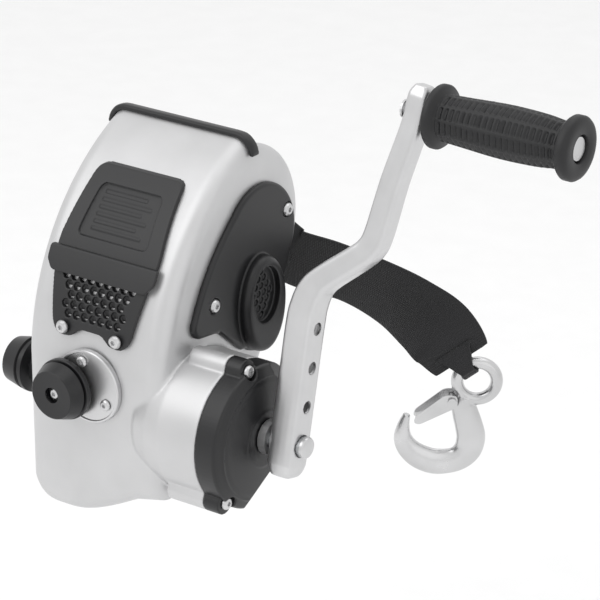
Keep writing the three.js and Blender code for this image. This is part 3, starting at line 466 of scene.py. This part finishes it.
def strap_uv(band, line):
    """UVs in metres, across the band and along it, from the nearest point of its line."""
    layer = band.data.uv_layers.new(name="along")
    lengths = [0]
    for a, b in zip(line, line[1:]):
        lengths.append(lengths[-1] + (b - a).length)
    for loop in band.data.loops:
        p = band.data.vertices[loop.vertex_index].co
        k = min(range(len(line)), key=lambda i: (p - line[i]).length_squared)
        ahead = line[min(k + 1, len(line) - 1)] - line[max(k - 1, 0)]
        offset = p - line[k]
        along = offset.dot(ahead.normalized())
        side = math.sqrt(max(0, offset.length_squared - along * along))
        layer.data[loop.index].uv = (side, lengths[k] + along)


def make_strap():
    towards = Vector((math.cos(FOLD_ANGLE), math.sin(FOLD_ANGLE)))
    width = HOOK_ACROSS * towards.y - UP * towards.x

    def station(away, out, size):
        p = EYE + HOOK_ACROSS * (towards.x * away) + UP * (towards.y * away) + HOOK_OUT * out
        return (*p, *width, size)

    fold = []
    for i in range(9):
        a = math.pi / 2 - math.pi * i / 8
        fold.append(station(EYE_R - 7.2 * math.cos(a), 7.2 * math.sin(a), 11))
    front = [station(EYE_R + 15, 2.2, 28), *fold[:5]]
    tail, line, total = ribbon("strap", [*STRAP_ROUTE, *front], STRAP_STEPS)
    strap_uv(tail, line)
    placed(tail, "winch", "webbing", "strap_tail", "strap_loop", angle=60)
    lap, lap_line, _ = ribbon("strap_lap", [*fold[4:], station(EYE_R + 15, -2.2, 28)], 40)
    strap_uv(lap, lap_line)
    placed(lap, "winch", "webbing", angle=60)
    return tail, lap, line, total * MM


strap, strap_lap, strap_line, strap_length = make_strap()


# ---------- casing ----------

def ridge(inset):
    """Where the two top arcs cross, once both are pulled in by inset."""
    r1, r2 = HOOD[2] - inset, BACK[2] - inset
    dy, dz = BACK[0] - HOOD[0], BACK[1] - HOOD[1]
    apart = math.hypot(dy, dz)
    along = (r1 ** 2 - r2 ** 2 + apart ** 2) / (2 * apart)
    off = math.sqrt(r1 ** 2 - along ** 2)
    return HOOD[0] + (along * dy + off * dz) / apart, HOOD[1] + (along * dz - off * dy) / apart


def casing_profile(inset):
    top = ridge(inset)
    start = math.degrees(math.acos((FRONT_Y + inset - HOOD[0]) / (HOOD[2] - inset)))
    hood_end = math.degrees(math.atan2(top[1] - HOOD[1], top[0] - HOOD[0]))
    back_start = math.degrees(math.atan2(top[1] - BACK[1], top[0] - BACK[0]))
    return [
        (FRONT_Y + inset, NOSE_BOTTOM + inset),
        *arc(HOOD[0], HOOD[1], HOOD[2] - inset, start, hood_end, 48),
        *arc(BACK[0], BACK[1], BACK[2] - inset, back_start, BACK_END, 48)[1:],
        (71 - inset, 10 - inset * 0.4), (62 - inset, -6), (62 - inset, -41.5),
        (-2 - inset, -41.5), (-9 - inset, NOSE_BOTTOM + inset),
    ]


def front_outline(inset):
    w = FLANK_X + 1 - inset
    bottom = NOSE_BOTTOM + inset
    return [
        (-w, 190), *bezier((-w, -38), (-w, -62), (-52 + inset, bottom), (-34, bottom), 18),
        *bezier((-24, bottom), (-8, bottom), (10, -68 + inset), (32, -56 + inset), 14),
        (w, -50 + inset), (w, 190),
    ]


def quarter(r, steps=8):
    """A rounded edge of radius r: how far each point lies inside the face and inside the side."""
    turn = [math.pi / 2 * i / steps for i in range(steps + 1)]
    return [(r * (1 - math.cos(a)), r * (1 - math.sin(a))) for a in turn]


def casing_body(name, inset):
    x = FLANK_X - inset
    half = [(x - in_flank, inset + in_profile) for in_flank, in_profile in quarter(EDGE - inset * 0.6)]
    stations = [(-a, b) for a, b in half] + [(a, b) for a, b in reversed(half)]
    body = loft(name, [[at(sx, y, z) for y, z in casing_profile(sb)] for sx, sb in stations])
    fronts = [
        (FRONT_Y + inset + in_front, inset + in_side)
        for in_front, in_side in quarter(max(2, 9 - inset))
    ]
    fronts = [(fronts[0][0] - 20, fronts[0][1]), *fronts, (140, inset)]
    outline = loft("outline", [[at(px, y, z) for px, z in front_outline(b)] for y, b in fronts])
    return combine(body, outline, "INTERSECT")


def screw_places(*nodes):
    """Where the screws sit, as y and z from the shaft's axis."""
    return [((middle(n).y - SHAFT.y) / MM, (middle(n).z - SHAFT.z) / MM) for n in nodes]


NECK_SCREWS = [f"gear_cover_screw_{i}" for i in (1, 2, 3)]


def neck_body():
    neck = lathe("neck", [
        (0, 12), (24, 18), (36, 27), (43, 37), (NECK_R - 2.5, 48),
        (NECK_R, 60), (NECK_R, NECK_END), (0, NECK_END),
    ], "X", *NECK)
    return join(neck, *[rod("lobe", "X", LOBE_R, 62, NECK_END, y, z) for y, z in screw_places(*NECK_SCREWS)])


def teardrop(inset):
    """Outline of a side cover, pulled in by inset."""
    top = arc(67, 104, 37.5 - inset, -31, 140, 48)
    bend = (8 + inset * 0.8, 103 - inset * 0.6)
    low = (-7.2 + inset, 67)
    edge = bezier(top[-1], between(top[-1], bend), between(low, bend), low, 16)
    return [
        *top, *edge[1:], *arc(1, 63.5, 9 - inset, 156, 262, 16),
        (20, 52 + inset), (44 + inset, 31 + inset), (66, 27 + inset), (76 - inset, 28),
    ]


def seam_region(gap):
    """Everything behind the seam, except the flat flanks."""
    region = prism_x("region", [
        (61 + gap, 200), (140, 200), (140, -60), (50 + gap, -60), (50 + gap, 20), (61 + gap, 120),
    ], -80, 80)
    flank = prism_x("flank", casing_profile(REAR_RIM - gap), -80, 80)
    cut(flank, block("between", -50.2 + gap, 50.2 - gap, -60, 140, -100, 200))
    return cut(region, flank)


def casing_shell():
    shell = join(casing_body("casing", 0), neck_body())
    return cut(
        shell,
        casing_body("inside", WALL),
        rod("carrier_room", "X", CARRIER_ROOM_R, 40, 62),
        rod("neck_bore", "X", RING_BORE_R, 61, 100),
        block("base_room", -52, 52, -1.8, 57.9, -60, -20),
    )


def make_housing():
    shell = casing_shell()
    knob = middle("selector_knob")
    cut(
        shell,
        seam_region(0),
        rod("shaft_hole", "X", 12.4, -70, -40),
        rod("stem_hole", "Y", STEM_HOLE_R, -60, -20, knob.x / MM, (knob.z - SHAFT.z) / MM),
        prism_x("cover_hole", teardrop(7), -80, 80),
    )
    soften(shell, 1.0, 8)
    shell.name = "housing"
    return placed(shell, "winch", "cast_housing", "front_housing", angle=60)


def make_rear():
    shell = combine(casing_shell(), seam_region(GAP), "INTERSECT")
    slab = block("slab", -80, 80, 57.5, 66, LIP_END_Z, 190)
    lip = combine(casing_body("lip", -LIP_RISE), slab, "INTERSECT")
    cut(lip, casing_body("under", -GAP))
    join(shell, lip)
    cut(shell, block("strap_slot", -28.5, 28.5, 96, 134, 106, 132))
    soften(shell, 1.0, 5)
    shell.name = "back_shell"
    return placed(shell, "winch", "black_plastic", "rear_shell", angle=60)


def on_hood(name, outline, low, high):
    skin = cut(casing_body(name, -high), casing_body("below", -low))
    return combine(skin, prism_y("outline", outline, -70, 58), "INTERSECT")


def bezel_outline():
    return rounded([
        (-34.5, 152), (34.5, 152), (41.5, 108), (32, 58), (27, 51.5), (16, 51.5), (9, 58),
        (-9, 58), (-16, 51.5), (-27, 51.5), (-32, 58), (-41.5, 108),
    ], 6)


def honeycomb(z0, rows, pitch, reach):
    """Middles of hexagons in rows, from z0 up, as far as reach to each side of x = 0."""
    cells = []
    for row in range(rows):
        z = z0 + row * pitch * 0.866
        for i in range(-6, 7):
            x = (i + (row % 2) / 2) * pitch
            if abs(x) < reach + row * 1.4:
                cells.append((x, z))
    return cells


def hood_y(z):
    return HOOD[0] - math.sqrt(HOOD[2] ** 2 - (z - HOOD[1]) ** 2)


def make_bezel():
    bezel = on_hood("bezel", bezel_outline(), GAP, BEZEL_T)
    window = rounded([(-25, 143), (25, 143), (29, 113), (-29, 113)], 5)
    cut(bezel, on_hood("window", window, 1.4, 8))
    lines = [block("line", -20, 20 - 6 * (i % 2), -60, 60, 117.5 + 4 * i, 119 + 4 * i) for i in range(6)]
    join(bezel, combine(on_hood("text", window, 1.2, 1.9), join(*lines), "INTERSECT"))
    for x, z in honeycomb(66, 5, 6.8, 23):
        cut(bezel, rod("cell", "Y", 3.1, -60, hood_y(z) - 1.1, x, z, segments=6))
    soften(bezel, 0.5, 3)
    return placed(bezel, "winch", "bezel_plastic", "label_bezel", angle=60)


def make_band():
    outline = rounded([(-44, 106), (44, 106), (44, 97), (39, 91), (-39, 91), (-44, 97)], 1.5)
    band = soften(on_hood("band", outline, BEZEL_T + GAP, 6), 0.5, 4)
    return placed(band, "winch", "bezel_plastic", "bezel_band", angle=60)


def make_side_cover(side):
    """A thin teardrop plate with an oval boss, whose face has a pocket with a honeycomb floor."""
    x = FLANK_X + GAP
    top = x + BOSS_HEIGHT
    name = "right" if side > 0 else "left"

    def from_outline(label, outline, stations):
        return loft(label, [[at(side * s, y, z) for y, z in outline(b)] for s, b in stations])

    plate = [(x + COVER_T - out, inset) for out, inset in reversed(quarter(2.5, 5))]
    cover = from_outline("cover", teardrop, [(x, 0), *plate])
    turn = [math.pi / 2 * i / 6 for i in range(7)]
    dome = [(top - 6 + 6 * math.sin(a), 5 * (1 - math.cos(a))) for a in turn]
    boss = [(x, -1.5), (x + COVER_T + 1, 0), *dome]
    join(cover, from_outline("boss", lambda inset: oval(*HUB_BOSS, inset), boss))
    pocket = [(top - POCKET_DEPTH, 0), (top + 9, 0)]
    cut(cover, from_outline("pocket", lambda inset: oval(*BOSS_POCKET, inset), pocket))
    floor = top - POCKET_DEPTH
    for y, z in honeycomb(BOSS_POCKET[1] - 15.6, 7, 6, 12):
        if math.hypot(y / (BOSS_POCKET[2] - 1), (z - BOSS_POCKET[1]) / (BOSS_POCKET[3] - 1)) < 0.86:
            span = sorted((side * (floor - 1.8), side * (floor + 2)))
            cut(cover, rod("cell", "X", 2.5, *span, BOSS_POCKET[0] + y, z, segments=6))
    cut(cover, prism_x("hollow", teardrop(6.5), *sorted((side * 40, side * (x + COVER_T - 2.5)))))
    for y, z in screw_places(f"side_cover_screw_{name}_1", f"side_cover_screw_{name}_2"):
        cut(cover, rod("seat", "X", 5.4, *sorted((side * (x + COVER_SEAT), side * 90)), y, z))
    soften(cover, 0.5, 3)
    cover.name = f"cover_{name}"
    return placed(cover, "winch", "black_plastic", f"side_cover_{name}", angle=60)


def facet(x, y, z, direction):
    """The space outside a flat facet that leans towards the crank, through a point of the rim."""
    a = math.radians(direction)
    along = Vector((math.cos(FACET_SLOPE), -math.sin(FACET_SLOPE)))
    out = Vector((math.sin(FACET_SLOPE), math.cos(FACET_SLOPE)))
    corners = [along * -150, along * 150, along * 150 + out * 150, along * -150 + out * 150]
    rings = []
    for across in (-150, 150):
        ring = []
        for c in corners:
            py = y + c.y * math.cos(a) - across * math.sin(a)
            pz = z + c.y * math.sin(a) + across * math.cos(a)
            ring.append(at(x + c.x, py, pz))
        rings.append(ring)
    return loft("facet", rings)


def make_gear_cover():
    """A deep cap with two flat facets, one faint raised ring, and a lobe round each screw."""
    x = NECK_END + GAP
    profile = [
        (0, x), (NECK_R, x), (NECK_R, x + 14), (NECK_R - 0.9, x + 15.6), (NECK_R - 3, x + 16.5),
        (43, x + 17.6), (42, x + 18.6), (41, x + 18.2), (38, x + 19),
        (20, x + 21), (19, x + 21.5), (0, x + 21.5),
    ]
    cover = lathe("gear_dish", profile, "X", *NECK)
    for direction, start in COVER_FACETS:
        a = math.radians(direction)
        rim = (NECK[0] + NECK_R * math.cos(a), NECK[1] + NECK_R * math.sin(a))
        cut(cover, facet(x + start, *rim, direction))
    places = screw_places(*NECK_SCREWS)
    join(cover, *[rod("lobe", "X", LOBE_R, x, x + NECK_SEAT, y, z) for y, z in places])
    cut(cover, *[rod("seat", "X", 5.2, x + NECK_SEAT, x + 30, y, z) for y, z in places])
    cut(cover, rod("shaft_bore", "X", 9.4, x - 1, 130))
    soften(cover, 0.6, 3)
    return placed(cover, "winch", "black_plastic", "gear_cover", angle=60)


# ---------- controls ----------

def make_knobs():
    knob = middle("selector_knob")
    x, z = knob.x / MM, (knob.z - SHAFT.z) / MM
    face = lathe("selector", [
        (0, -57.4), (5.2, -57.4), (5.4, -61.6), (16, -62), (16.6, -61.6), (20, -52.6), (18.6, -52),
        (18.6, -50.8), (20.6, -50.4), (21, -49.8), (21, -46.6), (20.5, -46.1),
        (5.8, -46.1), (5.8, -31), (0, -31),
    ], "Y", x, z)
    placed(face, "selector", "knob_plastic", "selector_knob", angle=30)
    shift = lathe("shift", [
        (0, -100), (12, -100), (13, -99.6), (15.8, -98), (18.4, -86), (17, -85), (17, -83.5), (19, -82.5),
        (19, -80), (12, -78), (12, -52), (0, -52),
    ], "X")
    placed(shift, "shifter", "knob_plastic", "shift_knob", angle=30)
    plate = lathe("plate", [
        (0, -43.3), (23.4, -43.3), (23.9, -44.1), (25, -44.1), (25.5, -43.4), (25.5, -40.3), (0, -40.3),
    ], "Y", 0, 21)
    cut(plate, rod("stem", "Y", STEM_HOLE_R, -60, -20, x, z))
    placed(plate, "winch", "zinc_plate", "selector_plate", angle=30)


def make_screw(node, out, body="winch", r=4.6):
    """A pan-head screw with a six-lobed recess, on the head of its CAD node."""
    low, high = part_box(node)
    centre = (low + high) / 2
    way = {"+X": Vector((1, 0, 0)), "-X": Vector((-1, 0, 0)), "-Y": Vector((0, -1, 0))}[out]
    face = high.x if out == "+X" else -low.x if out == "-X" else -low.y
    top = centre + way * (face - centre.dot(way))
    side = Vector((0, 1, 0)) if abs(way.x) else Vector((1, 0, 0))
    other = way.cross(side)

    def ring(radius, depth, lobes=0.0):
        points = []
        for i in range(48):
            a = 2 * math.pi * i / 48
            q = (radius + lobes * math.cos(6 * a)) * MM
            points.append(top + side * (q * math.cos(a)) + other * (q * math.sin(a)) - way * (depth * MM))
        return points

    height = 2.8 if r > 4 else 2.0
    rings = [ring(0, 1.6), ring(r * 0.36, 1.6, 0.26), ring(r * 0.38, 0.12, 0.28), ring(r * 0.6, 0.05)]
    rings += [ring(r * 0.8, 0.35), ring(r * 0.93, height * 0.45), ring(r, height * 0.8), ring(r, height)]
    rings += [ring(1.9, height), ring(1.9, height + 6), ring(0, height + 6)]
    head = loft(node + "_head", rings)
    return placed(head, body, "zinc_plate", node, angle=30)


# ---------- crank ----------

def make_crank():
    x = CRANK_X
    stations = spline([
        (x, -22, 14, 14), (x, -19.5, 17.5, 17.5), (x, -15, 20, 20.5), (x, -8, 20.5, 22), (x, 40, 20.5, 22),
        (x, 80, 20.5, 22), (x + 1, 92, 20, 21.5), (x + 4, 102, 19.5, 20.5), (x + 11, 111.5, 18, 19),
        (x + 34, 130.5, 17, 18), (x + 42, 139, 16.5, 17), (x + 46, 150, 16, 16.5), (x + 52, 184, 15.5, 16),
        (x + 60.5, 220, 15, 15.5), (x + 62.5, 236, 15, 15.5), (x + 63, 242, 14, 14.5), (x + 63.5, 247, 9, 10),
    ], CRANK_STEPS)
    rings = []
    for i, (sx, sz, width, depth) in enumerate(stations):
        a, b = stations[max(0, i - 1)], stations[min(CRANK_STEPS, i + 1)]
        tangent = Vector((b[0] - a[0], b[1] - a[1])).normalized()
        ring = []
        for k in range(40):
            t = 2 * math.pi * k / 40
            c, s = math.cos(t), math.sin(t)
            u = math.copysign(abs(c) ** 0.42, c) * width / 2
            v = math.copysign(abs(s) ** 0.42, s) * depth / 2
            ring.append(on_crank(sx + tangent.y * u, v, sz - tangent.x * u))
        rings.append(ring)
    arm = loft("arm", rings)
    hollow = loft("hollow", [[on_crank(x + u, v, w) for u, v in ((-15, -8), (7.25, -8), (7.25, 8), (-15, 8))]
                             for w in (15, 84)])
    cut(arm, hollow, rod("shaft_hole", "X", 7.3, x - 30, x + 30, place=on_crank))
    for i in (1, 2, 3):
        cut(arm, rod("length_hole", "X", 4.2, x - 30, x + 30, 0, i * CRANK_HOLE_PITCH, place=on_crank))
    cut(arm, rod("grip_hole", "X", 4.3, x + 40, x + 90, 0, CRANK_RADIUS, place=on_crank))
    soften(arm, 0.6, 2)
    placed(arm, "crank", "zinc_plate", "crank_arm", angle=60)
    bolt = lathe("hub_head", [
        (0, 143.3), (7.2, 143.3), (7.2, 145), (6.6, 146), (4.4, 146.7), (0, 146.9),
    ], "X", 0, 0, place=on_crank)
    placed(bolt, "crank", "zinc_plate", "hub_bolt", angle=30)


def make_grip():
    """Rubber grip: flanges at both ends, rings of ridges, and smooth ribs along it."""
    x0, x1 = GRIP_X
    keys = [(x0 + 8, 15), (x0 + 20, 15.5), (x0 + 50, 17), (x0 + 75, 16.5), (x0 + 90, 15), (x1 - 10, 15.5)]
    body = spline(keys, 180)
    steps = 120
    rings = []

    def plain(r, x):
        rings.append([on_crank(x, r * math.cos(2 * math.pi * k / steps),
                               CRANK_RADIUS + r * math.sin(2 * math.pi * k / steps)) for k in range(steps)])

    for r, x in ((4.6, x0), (14, x0), (19.5, x0 + 0.6), (20.5, x0 + 1.8), (20.5, x0 + 4.4), (19.6, x0 + 5.6),
                 (15.6, x0 + 7.2)):
        plain(r, x)
    for x, r in body:
        wave = 0.5 - 0.5 * math.cos(2 * math.pi * (x - x0) / 4.2)
        ring = []
        for k in range(steps):
            a = 2 * math.pi * k / steps
            rib = max(0, math.cos(10 * a) - 0.55) / 0.45
            q = r - 1.3 * wave * (1 - min(1, rib * 1.6))
            ring.append(on_crank(x, q * math.cos(a), CRANK_RADIUS + q * math.sin(a)))
        rings.append(ring)
    for r, x in ((19.4, x1 - 8), (20.5, x1 - 6.6), (20.5, x1 - 2.6), (19.4, x1 - 1), (17, x1),
                 (9.6, x1), (9, x1 - 0.6), (9, x1 - 6), (4.6, x1 - 6)):
        plain(r, x)
    grip = loft("handle", rings, closed=True)
    placed(grip, "grip", "grip_rubber", "grip", angle=50)


# ---------- hook ----------

def make_hook():
    stations = spline([
        (-8, -12, 5, 5.4), (-9, -17, 8, 5.4), (-7.5, -24, 9, 5.4), (-5, -33, 9.6, 5.4), (-3.3, -43, 10, 5.4),
        (-6, -53, 9.6, 5.4), (-14, -59.5, 9, 5.4), (-27, -61, 9.4, 5.4), (-38, -57.5, 9, 5.4),
        (-46, -51, 7.8, 5.2), (-50, -43, 6.4, 4.8), (-49.8, -34, 4.4, 4), (-47.5, -25, 2.4, 2.4),
    ], HOOK_STEPS)
    rings = []
    for i, (across, up, half, thick) in enumerate(stations):
        a, b = stations[max(0, i - 1)], stations[min(HOOK_STEPS, i + 1)]
        tangent = Vector((b[0] - a[0], b[1] - a[1])).normalized()
        ring = []
        for k in range(28):
            t = 2 * math.pi * k / 28
            u = tangent.y * half * math.cos(t)
            v = tangent.x * half * math.cos(t)
            ring.append(in_hook(across + u, up - v, thick * math.sin(t)))
        rings.append(ring)
    hook = loft("slip_hook", rings)
    eye = []
    for i in range(72):
        a = 2 * math.pi * i / 72
        ring = []
        for k in range(20):
            t = 2 * math.pi * k / 20
            reach = EYE_R + EYE_BAR_R * math.cos(t)
            ring.append(in_hook(reach * math.cos(a), reach * math.sin(a), EYE_BAR_R * math.sin(t)))
        eye.append(ring)
    join(hook, loft("eye", eye, closed=True))
    soften(hook, 0.5, 5)
    placed(hook, "hook", "forged_zinc", "hook", angle=60)


# ---------- carried-over CAD nodes ----------

def paint_cad():
    for part in frame["record"]["subparts"]:
        node = frame["nodes"][part["node"]]
        node.data.materials.clear()
        node.data.materials.append(MATERIALS[part["material_slot"]])
        for polygon in node.data.polygons:
            polygon.use_smooth = False


# ---------- studio ----------

def make_studio():
    world = bpy.data.worlds.new("studio")
    bpy.context.scene.world = world
    world.use_nodes = True
    sky = world.node_tree.nodes["Background"]
    sky.inputs["Color"].default_value = (1, 1, 1, 1)
    sky.inputs["Strength"].default_value = 0.92
    lowest = CAD_BOX[0].z - 0.25
    reach = 12
    square = ((-reach, -reach), (reach, -reach), (reach, reach), (-reach, reach))
    corners = [(x, y, lowest) for x, y in square]
    floor = new_object("floor", corners, [(0, 1, 2, 3)])
    floor.data.materials.append(surface("floor", (0.93, 0.93, 0.93), 0.9, 0, 40, 0.0, 0.01))
    centre = (CAD_BOX[0] + CAD_BOX[1]) / 2
    for name, way, size, power in (
        ("key", (-0.6, -1.0, 1.2), 1.4, 7),
        ("fill", (1.4, -0.7, 0.5), 1.4, 1.5),
        ("top", (0.1, 0.5, 1.6), 1.4, 4),
    ):
        data = bpy.data.lights.new(name, "AREA")
        data.size = size
        data.energy = power
        lamp = bpy.data.objects.new(name, data)
        direction = Vector(way).normalized()
        lamp.location = centre + direction * 1.6
        lamp.rotation_mode = "QUATERNION"
        lamp.rotation_quaternion = (-direction).to_track_quat("-Z", "Y")
        bpy.context.collection.objects.link(lamp)
    bpy.context.scene.view_settings.view_transform = "Standard"


paint_cad()
make_housing()
make_rear()
make_bezel()
make_band()
for side in (1, -1):
    make_side_cover(side)
make_gear_cover()
make_knobs()
for i in (1, 2, 3):
    make_screw(f"gear_cover_screw_{i}", "+X", r=4.4)
for i in (1, 2):
    make_screw(f"side_cover_screw_right_{i}", "+X")
    make_screw(f"side_cover_screw_left_{i}", "-X")
    make_screw(f"bezel_screw_{i}", "-Y")
    make_screw(f"selector_plate_screw_{i}", "-Y", r=3.9)
make_screw("selector_knob_screw", "-Y", body="selector", r=4.0)
make_crank()
make_grip()
make_hook()
make_studio()
